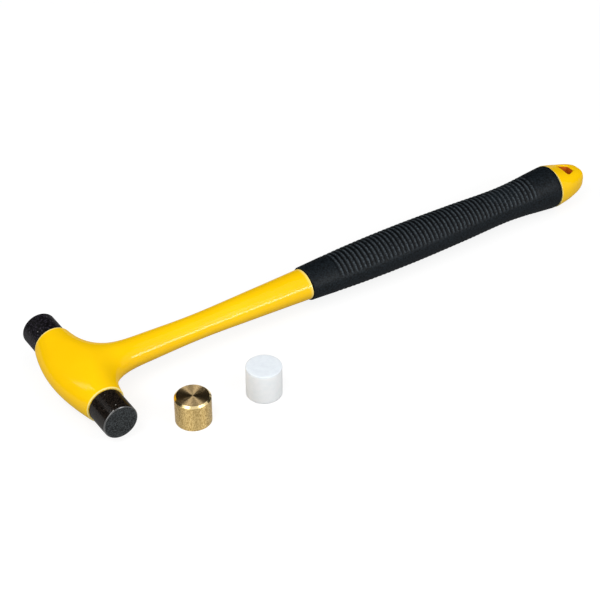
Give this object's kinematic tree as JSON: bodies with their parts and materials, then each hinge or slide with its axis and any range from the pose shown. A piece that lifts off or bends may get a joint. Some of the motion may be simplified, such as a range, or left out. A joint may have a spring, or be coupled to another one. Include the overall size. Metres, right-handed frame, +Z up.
{
  "type": "soft face hammer",
  "caption": "Light soft face hammer with a painted one-piece head and shaft, rubber grip, screw-on black faces and spare brass and nylon faces.",
  "frame": {"origin": "on the floor under the middle of the whole set, hammer and spare faces", "axes": "+X along the handle from the head to the tail, +Y along the head from the front face to the rear face, +Z up, with the hammer lying on its side"},
  "size_m": [0.2974, 0.0896, 0.0221],
  "materials": {
    "yellow_paint": "gloss",
    "grip_rubber": "matte",
    "zinc_steel": "satin",
    "insert_steel": "satin",
    "black_plastic": "gloss",
    "black_rubber": "matte",
    "turned_brass": "turned",
    "white_nylon": "satin"
  },
  "bodies": {
    "hammer": {"body": "yellow_paint", "grip_sleeve": "grip_rubber", "front_stud": "zinc_steel", "rear_stud": "zinc_steel"},
    "front screw": {"front_insert": "insert_steel"},
    "front face": {"front_face": "black_plastic"},
    "rear screw": {"rear_insert": "insert_steel"},
    "rear face": {"rear_face": "black_rubber"},
    "brass face": {"brass_face": "turned_brass"},
    "nylon face": {"nylon_face": "white_nylon"}
  },
  "joints": [
    {"name": "front_unscrew_travel", "type": "slide", "parent": "hammer", "child": "front screw", "axis": [0, -1, 0], "range_m": [0, 0.00875]},
    {"name": "front_unscrew_turn", "type": "hinge", "parent": "front screw", "child": "front face", "pos_m": [-0.13573, -0.01748, 0.01105], "axis": [0, -1, 0], "range_deg": [0, 2520]},
    {"name": "rear_unscrew_travel", "type": "slide", "parent": "hammer", "child": "rear screw", "axis": [0, 1, 0], "range_m": [0, 0.00875]},
    {"name": "rear_unscrew_turn", "type": "hinge", "parent": "rear screw", "child": "rear face", "pos_m": [-0.13573, 0.03132, 0.01105], "axis": [0, 1, 0], "range_deg": [0, 2520]},
    {"name": "brass_lift", "type": "slide", "parent": "hammer", "child": "brass face", "axis": [0, 0, 1], "range_m": [0, 0.08]},
    {"name": "nylon_lift", "type": "slide", "parent": "hammer", "child": "nylon face", "axis": [0, 0, 1], "range_m": [0, 0.08]}
  ],
  "couplings": [
    {"joint": "front_unscrew_turn", "follows": "front_unscrew_travel", "rad_per_m": 5026.5},
    {"joint": "rear_unscrew_turn", "follows": "rear_unscrew_travel", "rad_per_m": 5026.5}
  ]
}
